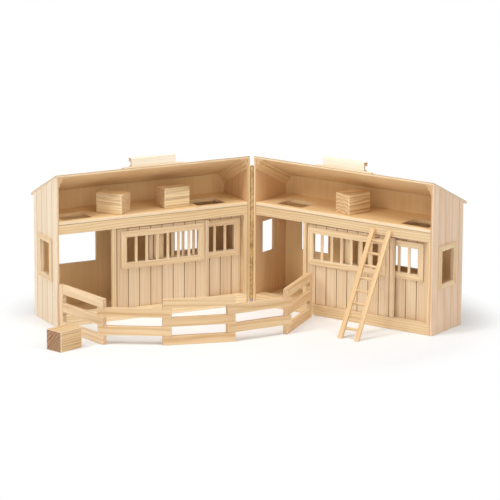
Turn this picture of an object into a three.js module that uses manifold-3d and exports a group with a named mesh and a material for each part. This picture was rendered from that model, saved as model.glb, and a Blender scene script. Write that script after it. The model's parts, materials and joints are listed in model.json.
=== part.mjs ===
// A folding wooden toy stable: two half barns on a brass piano hinge, opened round a fenced yard.
// Lengths are in millimetres, angles in degrees, and +Z is up.
// Each half has its own frame: x runs along its open front from left to right, y from the front
// to the back wall, and z up from the ground. A place "from the hinge" counts from the hinge end.
import * as THREE from "three";
import { mergeVertices } from "three/addons/utils/BufferGeometryUtils.js";
import Module from "manifold-3d";

const wasm = await Module();
wasm.setup();

// Clearances
const fit_gap = 0.3; // between pieces that are glued or rest on each other
const slide_gap = 0.5; // between a door and the side of its groove
const overrun = 1; // how far a cutter passes the face that it cuts

// Shell of one half
const half_length = 394;
const half_depth = 103.5;
const wall_t = 5;
const rest_opening = 118; // angle between the two open fronts

// Roof
const ridge_height = 285;
const eave_height = 230;
const eave_overhang = 12;
const roof_t = 4;

// V-grooved planking
const plank_pitch = 23;
const end_wall_first_plank = 20.5; // at the open front
const door_first_plank = 19.3; // at the hinge side
const groove_width = 1.8;
const groove_depth = 0.9;

// Ground floor and loft
const floor_t = 5;
const floor_height = 13;
const sill_height = 21;
const rail_depth = 22; // sill and loft beam, from the open front to their back
const beam_height = 18.3;
const loft_t = 6;
const loft_drop = 52.15; // loft floor's underside below the roof's level at the share below
const loft_level_share = 0.25; // of the way from the eave's height to the ridge's

// Loft hatches
const hatch_length = 58;
const hatch_depth = 46;
const hatch_from_front = 12;
const hatch_from_hinge = 44;
const hatch_from_outer_end = 18;

// Posts before and after the doors
const bay_length = 107;
const opening_post_width = 6;
const opening_post_depth = 8;
const closing_post_width = 6.4;

// Sliding doors: both run in grooves of the sill and of the loft beam
const door_t = 4;
const door_length = 184;
const door_batten_width = 6.4;
const door_batten_t = 7;
const front_track = 4;
const rear_track = 13.5;
const sill_groove = 4;
const beam_groove = 6;
const door_lift = 2.7; // free height that lets a door be lifted out
const rear_door_open = { left: 0, right: 3 }; // how far it stands from the closing post

// Barred window of a door
const grille_length = 169;
const grille_height = 71;
const grille_below_beam = 7.1;
const grille_border = 11.5;
const grille_t = 2.8;
const grille_margin = 3.5; // from the door's edge at the hinge side
const bar_count = 6;
const bar_width = 5.4;
const bar_t = 2;

// Windows in the walls
const window_below_beam = 20.3;
const window_height = 61;
const inner_window_rise = 3; // above the other windows
const hinge_window_length = { left: 64, right: 62.3 };
const hinge_window_from_hinge = { left: 44.5, right: 40 };
const outer_window_length = { left: 83.7, right: 64 };
const outer_window_from_outer_end = { left: 40, right: 80 };
const outer_wall_window = { from_front: 29, length: 39.3 };
const inner_wall_window = { from_front: 23, length: 37.5 };
const frame_border = 9.5;
const frame_t = 3;

// Cleats under the roof ends
const cleat_width = 14;
const cleat_height = 19;
const cleat_grooves = 2;
const cleat_groove_share = 0.28; // of the way from the slanted face to the corner

// Carrying handles
const handle_base_length = 122;
const handle_base_depth = 20;
const handle_base_t = 3;
const handle_from_ridge = 3;
const grip_length = 90;
const grip_depth = 12;
const grip_rise = 16.5;
const grip_web = 4.5;
const grip_top_t = 5.5;
const grip_foot_t = 3.5;
const grip_lip_t = 2.8;
const grip_lip_drop = 2.5; // how far the lip hangs below the grip's top

// Piano hinge
const hinge_bottom = 12;
const hinge_top = 265;
const knuckle_count = 41;
const knuckle_radius = 3.6;
const knuckle_gap = 0.4;
const leaf_t = 0.9;
const leaf_width = 14;
const pin_radius = 1.5;
const pin_clearance = 0.3;
const pin_head = 1.2;

// Hay bales
const bale_length = 53;
const bale_depth = 37;
const bale_height = 37;
const bale_edge = 1.2;
const outer_bale = { along_share: 0.328, deep_share: 0.33, angle: 128.5 };
const middle_bale = { along_share: 0.635, deep_share: 0.33, angle: 3 };
const right_bale = { along_share: 0.495, deep_share: 0.385, angle: 75.5 };
const yard_bale_reach = 73.2; // from the fence's first corner
const yard_bale_direction_angle = 209.5;
const yard_bale_angle = 51;

// Ladder, leaning on the right half's loft beam
const ladder_width = 44;
const ladder_middle_from_hinge = 285;
const ladder_reach = 104; // foot to the open front
const ladder_below_loft = 9; // its top below the loft floor's underside
const stile_width = 8.5;
const stile_t = 5;
const rung_count = 8;
const rung_radius = 2.6;
const rung_seat = 2.5; // depth of a rung's end in the right stile
const first_rung_margin = 18.5; // from the stile's foot
const last_rung_margin = 22; // from its top

// Yard fence: panels of three and of two rails that interleave at pins
const fence_level_count = 5;
const rail_height = 16.7;
const rail_gap = 0.3;
const rail_t = 8;
const fence_pitch = 117; // pin to pin
const fence_end_reach = 128; // last pin to the end post's outer face
const fence_post = 11.5;
const rail_overlap = 8.2; // pin to the end of a rail
const fence_pin_radius = 2;
const fence_pin_clearance = 0.3;
const fence_pin_rise = 0.2; // how far the pin stops short of the fence's foot and top
const fence_end_from_hinge = 136;
const fence_front_gap = 11.7; // from the last post to the right half's front
const fence_a_angle = 132;
const fence_b_angle = 1;
const fence_c_angle = 17;
const fence_d_angle = 34;
const fence_e_angle = 74;

// Round pieces
const round_segments = 16;
const fine_segments = 12;

// Sizes that follow
const straight_angle = 180;
const right_angle = straight_angle / 2;
const half_turn = (straight_angle - rest_opening) / 2;
const hinge_offset = knuckle_radius + fit_gap; // axis to the end walls' outer faces
const hinge_front = fit_gap; // axis to the plane of the open fronts
const roof_slope = (ridge_height - eave_height) / (half_depth + eave_overhang);
const roof_drop = roof_t * Math.hypot(1, roof_slope); // the roof's thickness measured upright
const loft_height = eave_height + loft_level_share * (ridge_height - eave_height) - loft_drop;
const beam_bottom = loft_height - beam_height;
const grille_bottom = beam_bottom - grille_below_beam - grille_height;
const window_bottom = beam_bottom - window_below_beam - window_height;
const ladder_top = loft_height - ladder_below_loft;
const inside_left = wall_t + fit_gap;
const inside_right = half_length - wall_t - fit_gap;
const inside_back = half_depth - wall_t - fit_gap;
const opening_post_left = wall_t + bay_length;
const stall_left = opening_post_left + opening_post_width + fit_gap;
const post_left = inside_right - closing_post_width;
const rail_level = rail_height + rail_gap;
const fence_height = fence_level_count * rail_level - rail_gap;

const pine = new THREE.MeshStandardMaterial({ color: 0xe9cfa4, roughness: 0.7, metalness: 0 });
const birch = new THREE.MeshStandardMaterial({ color: 0xe6c592, roughness: 0.65, metalness: 0 });
const hay_wood = new THREE.MeshStandardMaterial({ color: 0xd9b983, roughness: 0.8, metalness: 0 });
const brass = new THREE.MeshStandardMaterial({ color: 0xb59a56, roughness: 0.35, metalness: 1 });

// A closed geometry as a solid that can be joined and cut.
function solidOf(geometry) {
  const bare = geometry.clone();
  bare.deleteAttribute("normal");
  bare.deleteAttribute("uv");
  const merged = mergeVertices(bare);
  return new wasm.Manifold(
    new wasm.Mesh({
      numProp: 3,
      vertProperties: merged.attributes.position.array,
      triVerts: new Uint32Array(merged.index.array),
    }),
  );
}

// A solid as a geometry with flat faces.
function geometryOf(solid) {
  const mesh = solid.getMesh();
  const geometry = new THREE.BufferGeometry();
  geometry.setAttribute("position", new THREE.BufferAttribute(mesh.vertProperties, 3));
  geometry.setIndex(new THREE.BufferAttribute(mesh.triVerts, 1));
  const flat = geometry.toNonIndexed();
  flat.computeVertexNormals();
  return flat;
}

function block([x0, x1], [y0, y1], [z0, z1]) {
  const box = new THREE.BoxGeometry(x1 - x0, y1 - y0, z1 - z0);
  return solidOf(box.translate((x0 + x1) / 2, (y0 + y1) / 2, (z0 + z1) / 2));
}

function extruded(points, depth) {
  const shape = new THREE.Shape(points.map(([a, b]) => new THREE.Vector2(a, b)));
  return new THREE.ExtrudeGeometry(shape, { depth, bevelEnabled: false });
}

const unit_x = new THREE.Vector3(1, 0, 0);
const unit_y = new THREE.Vector3(0, 1, 0);
const unit_z = new THREE.Vector3(0, 0, 1);

// An outline of [y, z] points drawn out along x.
function alongX(points, [x0, x1]) {
  const turn = new THREE.Matrix4().makeBasis(unit_y, unit_z, unit_x);
  return solidOf(extruded(points, x1 - x0).applyMatrix4(turn).translate(x0, 0, 0));
}

// An outline of [x, z] points drawn out along y, falling with the roof as y grows.
function alongRoof(points, [y0, y1]) {
  const turn = new THREE.Matrix4().makeBasis(unit_x, unit_z, unit_y.clone().negate());
  const fall = new THREE.Matrix4().makeShear(0, 0, 0, -roof_slope, 0, 0);
  const geometry = extruded(points, y1 - y0).applyMatrix4(turn).translate(0, y1, 0);
  return solidOf(geometry.applyMatrix4(fall));
}

// An outline of [x, y] points drawn out along z.
function alongZ(points, [z0, z1]) {
  return solidOf(extruded(points, z1 - z0).translate(0, 0, z0));
}

function uprightRod(x, y, radius, [z0, z1], segments = round_segments) {
  const rod = new THREE.CylinderGeometry(radius, radius, z1 - z0, segments);
  return solidOf(rod.rotateX(Math.PI / 2).translate(x, y, (z0 + z1) / 2));
}

function joined(solids) {
  return solids.reduce((whole, solid) => whole.add(solid));
}

function cut(solid, cutters) {
  return cutters.length ? solid.subtract(joined(cutters)) : solid;
}

function addPiece(group, name, solid, material) {
  const mesh = new THREE.Mesh(geometryOf(solid), material);
  mesh.name = name;
  group.add(mesh);
  return mesh;
}

// Places along a face at which its planks meet, counted from the end where the first plank has
// its given width.
function plankJoints(start, end, first_plank) {
  const way = Math.sign(end - start);
  const length = Math.abs(end - start);
  const count = Math.ceil((length - first_plank - groove_width) / plank_pitch);
  return Array.from({ length: count }, (_, i) => start + way * (first_plank + i * plank_pitch));
}

// A first plank as wide as the last one.
function evenPlank(length) {
  const spare = length % plank_pitch;
  return spare / 2 > groove_width ? spare / 2 : spare / 2 + plank_pitch;
}

// An upright V-groove in a face that looks along y: side is -1 for a front face, 1 for a back one.
function grooveAcrossY(x, face, side, span) {
  const half = groove_width / 2;
  const outline = [
    [x - half, face + side * overrun],
    [x - half, face],
    [x, face - side * groove_depth],
    [x + half, face],
    [x + half, face + side * overrun],
  ];
  return alongZ(side > 0 ? outline : outline.reverse(), span);
}

// An upright V-groove in a face that looks along x: side is -1 for a left face, 1 for a right one.
function grooveAcrossX(y, face, side, span) {
  const half = groove_width / 2;
  const outline = [
    [face + side * overrun, y - half],
    [face, y - half],
    [face - side * groove_depth, y],
    [face, y + half],
    [face + side * overrun, y + half],
  ];
  return alongZ(side > 0 ? outline.reverse() : outline, span);
}

// Height under the roof at a depth from the open front.
function underRoof(y) {
  return ridge_height - roof_slope * y - roof_drop - fit_gap;
}

const full_height = [-overrun, ridge_height + overrun];
const window_span = [window_bottom, window_bottom + window_height];
const inner_window_span = window_span.map((z) => z + inner_window_rise);
const post_span = [sill_height + fit_gap, beam_bottom - fit_gap];

function makeFloorBoard() {
  return block(
    [inside_left, inside_right],
    [rail_depth + fit_gap, inside_back],
    [floor_height - floor_t, floor_height],
  );
}

// The two grooves that the doors run in.
function trackGrooves(span) {
  return [front_track, rear_track].map((track) =>
    block([stall_left, post_left - fit_gap], [track, track + door_t + 2 * slide_gap], span),
  );
}

function makeSill() {
  const bar = block([inside_left, inside_right], [0, rail_depth], [0, sill_height]);
  return cut(bar, trackGrooves([sill_height - sill_groove, sill_height + overrun]));
}

function makeBeam() {
  const top = loft_height - fit_gap;
  const bar = block([inside_left, inside_right], [0, rail_depth], [beam_bottom, top]);
  return cut(bar, trackGrooves([beam_bottom - overrun, beam_bottom + beam_groove]));
}

function makeLoftFloor(fromHinge) {
  const board = block(
    [inside_left, inside_right],
    [0, inside_back],
    [loft_height, loft_height + loft_t],
  );
  const outer_hatch = half_length - hatch_from_outer_end - hatch_length;
  const hatches = [hatch_from_hinge, outer_hatch].map((start) =>
    block(
      fromHinge(start, start + hatch_length),
      [hatch_from_front, hatch_from_front + hatch_depth],
      [loft_height - overrun, loft_height + loft_t + overrun],
    ),
  );
  return cut(board, hatches);
}

function makeBackWall(fromHinge, name) {
  const front = half_depth - wall_t;
  const hinge_start = hinge_window_from_hinge[name];
  const outer_end = half_length - outer_window_from_outer_end[name];
  const outline = [
    [front, 0],
    [half_depth, 0],
    [half_depth, underRoof(half_depth)],
    [front, underRoof(front)],
  ];
  const windows = [
    [hinge_start, hinge_start + hinge_window_length[name]],
    [outer_end - outer_window_length[name], outer_end],
  ].map(([start, end]) =>
    block(fromHinge(start, end), [front - overrun, half_depth + overrun], window_span),
  );
  const first_plank = evenPlank(inside_right - inside_left);
  const grooves = plankJoints(inside_left, inside_right, first_plank).map((x) =>
    grooveAcrossY(x, half_depth, 1, full_height),
  );
  return cut(alongX(outline, [inside_left, inside_right]), [...windows, ...grooves]);
}

// An end wall from x0 to x1, planked on its outer face.
function makeEndWall([x0, x1], outer_side, { from_front, length }, [low, high]) {
  const outline = [
    [0, 0],
    [half_depth, 0],
    [half_depth, underRoof(half_depth)],
    [0, underRoof(0)],
  ];
  const window = block(
    [x0 - overrun, x1 + overrun],
    [from_front, from_front + length],
    [low, high],
  );
  const grooves = plankJoints(0, half_depth, end_wall_first_plank).map((y) =>
    grooveAcrossX(y, outer_side > 0 ? x1 : x0, outer_side, full_height),
  );
  return cut(alongX(outline, [x0, x1]), [window, ...grooves]);
}

// A raised frame round the outer wall's window, with a face at x = face on the wall's outer side.
function makeWindowFrame(face, side) {
  const near = face + side * fit_gap;
  const far = near + side * frame_t;
  const xs = [Math.min(near, far), Math.max(near, far)];
  const start = outer_wall_window.from_front;
  const end = start + outer_wall_window.length;
  const [low, high] = window_span;
  const board = block(
    xs,
    [start - frame_border, end + frame_border],
    [low - frame_border, high + frame_border],
  );
  return cut(board, [block([xs[0] - overrun, xs[1] + overrun], [start, end], [low, high])]);
}

// The post at the doors' free end, between sill and beam.
function makeOpeningPost() {
  const xs = [opening_post_left, opening_post_left + opening_post_width];
  return block(xs, [0, opening_post_depth], post_span);
}

function makeClosingPost() {
  return block([post_left, inside_right], [0, rail_depth], post_span);
}

// Where a door stands: its left edge, its front face and the side that its batten is on.
const front_door = {
  left: stall_left + fit_gap,
  face: front_track + slide_gap,
  batten: "right",
};
function rearDoor(open) {
  return {
    left: post_left - 2 * fit_gap - door_length - open,
    face: rear_track + slide_gap,
    batten: "left",
  };
}

// The left edge of a door's barred window.
function grilleLeft(door_left, hinge_on_right) {
  const spare = door_length - grille_length;
  return door_left + (hinge_on_right ? spare - grille_margin : grille_margin);
}

// A planked door panel with a window opening, and a thicker pull batten on its free edge.
function makeDoor({ left, face, batten }, hinge_on_right) {
  const right = left + door_length;
  const bottom = sill_height - sill_groove + fit_gap;
  const top = beam_bottom + beam_groove - door_lift;
  const panel = block([left, right], [face, face + door_t], [bottom, top]);
  const opening_left = grilleLeft(left, hinge_on_right) + grille_border;
  const [hinge_edge, far_edge] = hinge_on_right ? [right, left] : [left, right];
  const opening = block(
    [opening_left, opening_left + grille_length - 2 * grille_border],
    [face - overrun, face + door_t + overrun],
    [grille_bottom + grille_border, grille_bottom + grille_height - grille_border],
  );
  const grooves = plankJoints(hinge_edge, far_edge, door_first_plank).map((x) =>
    grooveAcrossY(x, face, -1, full_height),
  );
  const edge = batten === "right" ? right : left;
  const away = batten === "right" ? door_batten_width : -door_batten_width;
  const pull = block(
    [Math.min(edge, edge + away), Math.max(edge, edge + away)],
    [face + door_t - door_batten_t, face + door_t],
    [sill_height + 2 * fit_gap, beam_bottom - 2 * fit_gap],
  );
  return cut(panel, [opening, ...grooves]).add(pull);
}

// The applied window frame of a door, with its upright bars let into the rails.
function makeGrille({ left, face }, hinge_on_right) {
  const x0 = grilleLeft(left, hinge_on_right);
  const x1 = x0 + grille_length;
  const back = face - fit_gap;
  const front = back - grille_t;
  const z0 = grille_bottom;
  const z1 = z0 + grille_height;
  const opening = [x0 + grille_border, x1 - grille_border];
  const hole = block(
    opening,
    [front - overrun, back + overrun],
    [z0 + grille_border, z1 - grille_border],
  );
  const frame = cut(block([x0, x1], [front, back], [z0, z1]), [hole]);
  const middle = (front + back) / 2;
  const pitch = (opening[1] - opening[0] + bar_width) / (bar_count + 1);
  const let_in = grille_border / 2;
  const bars = Array.from({ length: bar_count }, (_, i) => {
    const x = opening[0] - bar_width / 2 + (i + 1) * pitch;
    return block(
      [x - bar_width / 2, x + bar_width / 2],
      [middle - bar_t / 2, middle + bar_t / 2],
      [z0 + let_in, z1 - let_in],
    );
  });
  return joined([frame, ...bars]);
}

function makeRoof() {
  const eave = half_depth + eave_overhang;
  const outline = [
    [0, ridge_height - roof_drop],
    [eave, eave_height - roof_drop],
    [eave, eave_height],
    [0, ridge_height],
  ];
  return alongX(outline, [0, half_length]);
}

// A three-cornered batten under the roof against an end wall, with grooves in its slanted face.
// side is 1 where the batten reaches from the wall towards larger x.
function makeCleat(wall_face, side) {
  const corner = [wall_face + side * fit_gap, underRoof(0)];
  const along = [corner[0] + side * cleat_width, corner[1]];
  const down = [corner[0], corner[1] - cleat_height];
  const between = (a, b, share) => [a[0] + (b[0] - a[0]) * share, a[1] + (b[1] - a[1]) * share];
  const outline = [corner, along];
  const step = 1 / (2 * cleat_grooves + 1);
  for (let i = 0; i < cleat_grooves; i++) {
    const open = between(along, down, (2 * i + 1) * step);
    const close = between(along, down, (2 * i + 2) * step);
    outline.push(open);
    outline.push(between(between(open, close, 1 / 2), corner, cleat_groove_share));
    outline.push(close);
  }
  outline.push(down);
  return alongRoof(side > 0 ? outline.reverse() : outline, [0, inside_back]);
}

const middle = half_length / 2;

function makeHandleBase() {
  const low = ridge_height + fit_gap;
  const outline = [
    [middle - handle_base_length / 2, low],
    [middle + handle_base_length / 2, low],
    [middle + handle_base_length / 2, low + handle_base_t],
    [middle - handle_base_length / 2, low + handle_base_t],
  ];
  return alongRoof(outline, [handle_from_ridge, handle_from_ridge + handle_base_depth]);
}

// A grip open low at the back, where the fingers hook in behind its lip.
function makeGrip() {
  const onBase = (y) => ridge_height - roof_slope * y + handle_base_t + 2 * fit_gap;
  const front = handle_from_ridge + fit_gap;
  const back = front + grip_depth;
  const top = ridge_height + grip_rise;
  const outline = [
    [front, onBase(front)],
    [back, onBase(back)],
    [back, onBase(back) + grip_foot_t],
    [front + grip_web, onBase(front + grip_web) + grip_foot_t],
    [front + grip_web, top - grip_top_t],
    [back - grip_lip_t, top - grip_top_t],
    [back - grip_lip_t, top - grip_top_t - grip_lip_drop],
    [back, top - grip_top_t - grip_lip_drop],
    [back, top],
    [front, top],
  ];
  return alongX(outline, [middle - grip_length / 2, middle + grip_length / 2]);
}

const knuckle_step = (hinge_top - hinge_bottom) / knuckle_count;

function knuckleSpan(i) {
  const low = hinge_bottom + i * knuckle_step;
  return [low + knuckle_gap / 2, low + knuckle_step - knuckle_gap / 2];
}

// One leaf with its knuckles: axis_x is the pin's place, face the wall's outer face, and first
// is 0 for the leaf that has the end knuckles.
function makeLeaf(axis_x, face, first) {
  const axis_y = -hinge_front;
  const side = Math.sign(axis_x - face);
  const xs = [face + side * fit_gap, face + side * (fit_gap + leaf_t)].sort((a, b) => a - b);
  const plate = block(xs, [axis_y, axis_y + leaf_width], [hinge_bottom, hinge_top]);
  const own = [];
  const scallops = [];
  for (let i = 0; i < knuckle_count; i++) {
    const [low, high] = knuckleSpan(i);
    if (i % 2 === first) {
      own.push(uprightRod(axis_x, axis_y, knuckle_radius, [low, high], fine_segments));
    } else {
      const ys = [axis_y - overrun, axis_y + knuckle_radius + knuckle_gap];
      const zs = [low - knuckle_gap, high + knuckle_gap];
      scallops.push(block([xs[0] - overrun, xs[1] + overrun], ys, zs));
    }
  }
  const span = [hinge_bottom - overrun, hinge_top + overrun];
  const bore_radius = pin_radius + pin_clearance;
  const bore = uprightRod(axis_x, axis_y, bore_radius, span, fine_segments);
  return cut(joined([cut(plate, scallops), ...own]), [bore]);
}

function makeHingePin() {
  const head_radius = pin_radius + (knuckle_radius - pin_radius) / 2;
  const low = [hinge_bottom - fit_gap - pin_head, hinge_bottom - fit_gap];
  const high = [hinge_top + fit_gap, hinge_top + fit_gap + pin_head];
  return joined([
    uprightRod(0, 0, pin_radius, [low[0], high[1]], fine_segments),
    uprightRod(0, 0, head_radius, low),
    uprightRod(0, 0, head_radius, high),
  ]);
}

// A block of wood with broken edges, its long side along x.
function makeBale() {
  const geometry = extruded(
    [
      [bale_edge - bale_length / 2, -bale_depth / 2],
      [bale_length / 2 - bale_edge, -bale_depth / 2],
      [bale_length / 2, bale_edge - bale_depth / 2],
      [bale_length / 2, bale_depth / 2 - bale_edge],
      [bale_length / 2 - bale_edge, bale_depth / 2],
      [bale_edge - bale_length / 2, bale_depth / 2],
      [-bale_length / 2, bale_depth / 2 - bale_edge],
      [-bale_length / 2, bale_edge - bale_depth / 2],
    ],
    bale_height,
  );
  return solidOf(geometry);
}

function addBale(group, name, [x, y, z], angle) {
  const bale = addPiece(group, name, makeBale(), hay_wood);
  bale.position.set(x, y, z);
  bale.rotation.z = THREE.MathUtils.degToRad(angle);
}

function addLoftBale(half, name, { along_share, deep_share, angle }) {
  const top = loft_height + loft_t + fit_gap;
  addBale(half, name, [along_share * half_length, deep_share * half_depth, top], angle);
}

// One half barn. hinge_end is "right" for the left half and "left" for the right half.
function makeHalf(name, hinge_end) {
  const group = new THREE.Group();
  const hinge_on_right = hinge_end === "right";
  const fromHinge = (a, b) => (hinge_on_right ? [half_length - b, half_length - a] : [a, b]);
  const left_wall = [0, wall_t];
  const right_wall = [half_length - wall_t, half_length];
  const inner = hinge_on_right ? right_wall : left_wall;
  const outer = hinge_on_right ? left_wall : right_wall;
  const outward = hinge_on_right ? -1 : 1;
  const outer_face = hinge_on_right ? 0 : half_length;
  const inner_face = hinge_on_right ? half_length : 0;
  const add = (piece, solid, material = pine) =>
    addPiece(group, `${name}_${piece}`, solid, material);

  add("floor_board", makeFloorBoard());
  add("sill", makeSill());
  add("loft_beam", makeBeam());
  add("loft_floor", makeLoftFloor(fromHinge));
  add("back_wall", makeBackWall(fromHinge, name));
  add("outer_wall", makeEndWall(outer, outward, outer_wall_window, window_span));
  add("inner_wall", makeEndWall(inner, -outward, inner_wall_window, inner_window_span));
  add("window_frame", makeWindowFrame(outer_face, outward));
  add("opening_post", makeOpeningPost());
  add("closing_post", makeClosingPost());
  add("front_door", makeDoor(front_door, hinge_on_right));
  add("front_door_grille", makeGrille(front_door, hinge_on_right));
  const rear_door = rearDoor(rear_door_open[name]);
  add("rear_door", makeDoor(rear_door, hinge_on_right));
  add("rear_door_grille", makeGrille(rear_door, hinge_on_right));
  add("roof", makeRoof());
  add("left_cleat", makeCleat(wall_t, 1));
  add("right_cleat", makeCleat(half_length - wall_t, -1));
  add("handle_base", makeHandleBase());
  add("handle_grip", makeGrip());
  const axis_x = inner_face - outward * hinge_offset;
  add("hinge_leaf", makeLeaf(axis_x, inner_face, hinge_on_right ? 0 : 1), brass);

  if (hinge_on_right) {
    addLoftBale(group, "loft_bale_outer", outer_bale);
    addLoftBale(group, "loft_bale_middle", middle_bale);
  } else {
    addLoftBale(group, "loft_bale_right", right_bale);
    addLadder(group);
  }
  group.position.set(-axis_x, hinge_front, 0);
  const holder = new THREE.Group();
  holder.add(group);
  holder.rotation.z = THREE.MathUtils.degToRad(outward < 0 ? half_turn : -half_turn);
  return holder;
}

// The ladder stands on the ground in front of the right half and leans on its loft beam.
function addLadder(half) {
  const lean = Math.atan2(ladder_reach, ladder_top);
  const length = Math.hypot(ladder_reach, ladder_top);
  const ladder = new THREE.Matrix4()
    .makeTranslation(ladder_middle_from_hinge, -ladder_reach - fit_gap, 0)
    .multiply(new THREE.Matrix4().makeRotationX(-lean));
  const shape = (geometry) => solidOf(geometry.applyMatrix4(ladder));
  const floor = block(
    [ladder_middle_from_hinge - ladder_width, ladder_middle_from_hinge + ladder_width],
    [-2 * ladder_reach, 0],
    [-2 * stile_t, 0],
  );
  const inner = ladder_width / 2 - stile_width;
  const stile = (side) => {
    const bar = new THREE.BoxGeometry(stile_width, stile_t, length + stile_t);
    bar.translate(side * (inner + stile_width / 2), -stile_t / 2, (length - stile_t) / 2);
    return cut(shape(bar), [floor]);
  };
  const rung_step = (length - first_rung_margin - last_rung_margin) / (rung_count - 1);
  const rung_start = -inner - stile_width / 2;
  const rungs = (radius, end) =>
    Array.from({ length: rung_count }, (_, i) => {
      const rung = new THREE.CylinderGeometry(radius, radius, end - rung_start, fine_segments);
      rung.rotateZ(Math.PI / 2);
      rung.translate((rung_start + end) / 2, -stile_t / 2, first_rung_margin + i * rung_step);
      return shape(rung);
    });
  const seat = inner + rung_seat;
  const left = joined([stile(-1), ...rungs(rung_radius, seat - fit_gap)]);
  const right = cut(stile(1), rungs(rung_radius + fit_gap, seat));
  addPiece(half, "ladder_left_stile_and_rungs", left, birch);
  addPiece(half, "ladder_right_stile", right, birch);
}

// One rail of a panel, in the panel's frame: its first pin at the origin and its rails along x.
function fenceRail(level, from, to, pins) {
  const low = level * rail_level;
  const rail = block([from, to], [-rail_t / 2, rail_t / 2], [low, low + rail_height]);
  const span = [low - overrun, low + rail_height + overrun];
  const bore = fence_pin_radius + fence_pin_clearance;
  return cut(rail, pins.map((x) => uprightRod(x, 0, bore, span, fine_segments)));
}

function makeFence() {
  const fence = new THREE.Group();
  const radians = (angle) => THREE.MathUtils.degToRad(angle);
  const step = (from, angle, reach) => [
    from[0] + reach * Math.cos(radians(angle)),
    from[1] + reach * Math.sin(radians(angle)),
  ];
  const along = -half_turn;
  const front = along - right_angle;
  const end_u = step([0, 0], along, hinge_offset + fence_end_from_hinge);
  const end_e = step(end_u, front, fence_front_gap);
  const pin_de = step(end_e, fence_e_angle, -fence_end_reach);
  const pin_cd = step(pin_de, fence_d_angle, -fence_pitch);
  const pin_bc = step(pin_cd, fence_c_angle, -fence_pitch);
  const pin_ab = step(pin_bc, fence_b_angle, -fence_pitch);
  const place = (name, solid, [x, y], angle) => {
    const mesh = addPiece(fence, name, solid, birch);
    mesh.position.set(x, y, 0);
    mesh.rotation.z = radians(angle);
  };
  const endPanel = () => {
    const rails = [0, 2, 4].map((level) => fenceRail(level, -rail_overlap, fence_end_reach, [0]));
    const post = block(
      [fence_end_reach - fence_post, fence_end_reach],
      [-rail_t / 2, rail_t / 2],
      [0, fence_height],
    );
    return joined([...rails, post]);
  };
  const rail = (level) =>
    fenceRail(level, -rail_overlap, fence_pitch + rail_overlap, [0, fence_pitch]);
  place("fence_a_end_panel", endPanel(), pin_ab, fence_a_angle);
  place("fence_b_lower_rail", rail(1), pin_ab, fence_b_angle);
  place("fence_b_upper_rail", rail(3), pin_ab, fence_b_angle);
  place("fence_c_bottom_rail", rail(0), pin_bc, fence_c_angle);
  place("fence_c_middle_rail", rail(2), pin_bc, fence_c_angle);
  place("fence_c_top_rail", rail(4), pin_bc, fence_c_angle);
  place("fence_d_lower_rail", rail(1), pin_cd, fence_d_angle);
  place("fence_d_upper_rail", rail(3), pin_cd, fence_d_angle);
  place("fence_e_end_panel", endPanel(), pin_de, fence_e_angle);
  const pin_span = [fence_pin_rise, fence_height - fence_pin_rise];
  const pin = uprightRod(0, 0, fence_pin_radius, pin_span, fine_segments);
  place("fence_pin_ab", pin, pin_ab, 0);
  place("fence_pin_bc", pin, pin_bc, 0);
  place("fence_pin_cd", pin, pin_cd, 0);
  place("fence_pin_de", pin, pin_de, 0);
  const bale = step(pin_ab, yard_bale_direction_angle, yard_bale_reach);
  addBale(fence, "yard_bale", [...bale, 0], yard_bale_angle);
  return fence;
}

const stable = new THREE.Group();
stable.add(makeHalf("left", "right"));
stable.add(makeHalf("right", "left"));
addPiece(stable, "hinge_pin", makeHingePin(), brass);
stable.add(makeFence());

// The model's origin is the middle of the ground that it covers.
stable.updateMatrixWorld(true);
const bounds = new THREE.Box3().setFromObject(stable, true);
const centre = bounds.getCenter(new THREE.Vector3());
stable.position.set(-centre.x, -centre.y, -bounds.min.z);

export default stable;
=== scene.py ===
"""Dresses the folding toy stable: its timber, its brass hinge and the studio round it.

Lengths are in metres, angles in degrees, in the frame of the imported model: +Z is up and the
yard lies towards -Y of the hinge.
"""

import json
import logging
import math
from dataclasses import dataclass, field, replace
from enum import Enum
from typing import Optional, Sequence, Union

import bmesh
import bpy
from mathutils import Matrix, Vector

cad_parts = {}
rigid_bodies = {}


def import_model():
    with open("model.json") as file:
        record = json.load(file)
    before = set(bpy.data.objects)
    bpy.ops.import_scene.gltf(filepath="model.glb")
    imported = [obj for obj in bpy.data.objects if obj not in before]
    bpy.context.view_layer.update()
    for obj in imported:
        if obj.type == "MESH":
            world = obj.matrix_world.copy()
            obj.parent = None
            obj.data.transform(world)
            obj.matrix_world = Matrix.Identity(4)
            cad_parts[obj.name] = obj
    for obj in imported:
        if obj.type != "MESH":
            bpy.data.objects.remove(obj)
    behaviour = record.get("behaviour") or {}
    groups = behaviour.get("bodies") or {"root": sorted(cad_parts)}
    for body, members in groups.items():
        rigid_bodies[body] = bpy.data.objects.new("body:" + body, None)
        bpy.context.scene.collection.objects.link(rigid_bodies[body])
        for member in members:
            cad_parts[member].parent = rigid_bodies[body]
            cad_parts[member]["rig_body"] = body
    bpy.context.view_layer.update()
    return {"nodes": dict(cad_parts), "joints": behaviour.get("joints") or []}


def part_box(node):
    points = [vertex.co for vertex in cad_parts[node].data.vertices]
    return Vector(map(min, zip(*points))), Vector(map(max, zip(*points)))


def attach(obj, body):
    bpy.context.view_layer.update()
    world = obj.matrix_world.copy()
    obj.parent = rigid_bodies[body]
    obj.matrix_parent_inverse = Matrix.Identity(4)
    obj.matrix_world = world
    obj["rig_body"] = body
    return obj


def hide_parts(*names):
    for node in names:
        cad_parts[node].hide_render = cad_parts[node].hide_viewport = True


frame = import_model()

LOG = logging.getLogger("toy_stable")
WORN = "worn_edge"

# How a piece's name turns into the number that shifts its wood, and how that moves the pith.
SEED_STEP, SEED_ROOM = 0.377, 50
PITH_FROM, PITH_STEPS, PITH_TURNS = (0.013, -0.031), (0.0017, -0.003), (7, 5)
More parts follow.
